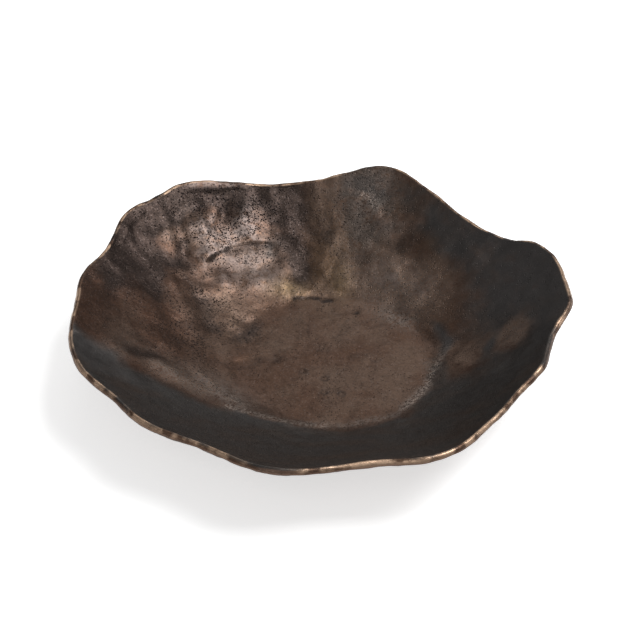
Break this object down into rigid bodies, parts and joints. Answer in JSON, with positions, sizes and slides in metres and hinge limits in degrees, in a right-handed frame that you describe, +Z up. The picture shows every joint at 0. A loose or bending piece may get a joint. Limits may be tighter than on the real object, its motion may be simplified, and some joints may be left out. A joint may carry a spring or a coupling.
{
  "type": "hammered copper bowl",
  "caption": "Shallow hammered copper bowl with a wavy rim, a flat floor, dark patina and a worn bright lip, standing on self-adhesive rubber bumpers",
  "frame": {"origin": "on the table, under the middle of the bowl's box", "axes": "+Z up; +X to the right along the bowl's longest side; -Y the front"},
  "size_m": [0.3747, 0.3526, 0.0668],
  "materials": {
    "dark_copper": "satin",
    "rubber": "matte",
    "adhesive": "satin"
  },
  "bodies": {
    "root": {"bowl_shell": "dark_copper", "bumper_front_right": "rubber", "adhesive_front_right": "adhesive", "bumper_back_right": "rubber", "adhesive_back_right": "adhesive", "bumper_back_left": "rubber", "adhesive_back_left": "adhesive", "bumper_front_left": "rubber", "adhesive_front_left": "adhesive"}
  },
  "joints": []
}
